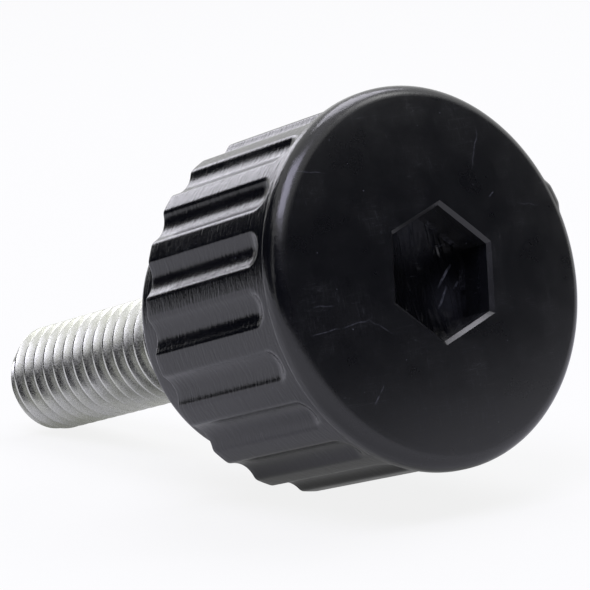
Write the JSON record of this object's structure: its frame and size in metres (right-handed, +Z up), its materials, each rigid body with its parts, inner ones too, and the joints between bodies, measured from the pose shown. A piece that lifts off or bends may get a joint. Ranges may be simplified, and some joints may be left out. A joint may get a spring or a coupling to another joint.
{
  "type": "thumb screw",
  "caption": "Thumb screw with a fluted moulded knob, a hexagonal socket in its domed face and an M6 threaded stud.",
  "frame": {"origin": "centre of the base of the bounding box, on the surface that the screw lies on", "axes": "+X along the lying screw, from the tip of the stud to the face of the knob, +Z up; the screw's own axis lies in the XZ plane and climbs 15.4 degrees towards +X"},
  "size_m": [0.0376, 0.0196, 0.0215],
  "materials": {
    "moulded_plastic": "semi-gloss as moulded, with fine handling scratches",
    "zinc_plated_steel": "bright zinc plate"
  },
  "bodies": {
    "root": {"knob": "moulded_plastic", "threaded_stud": "zinc_plated_steel"}
  },
  "joints": []
}
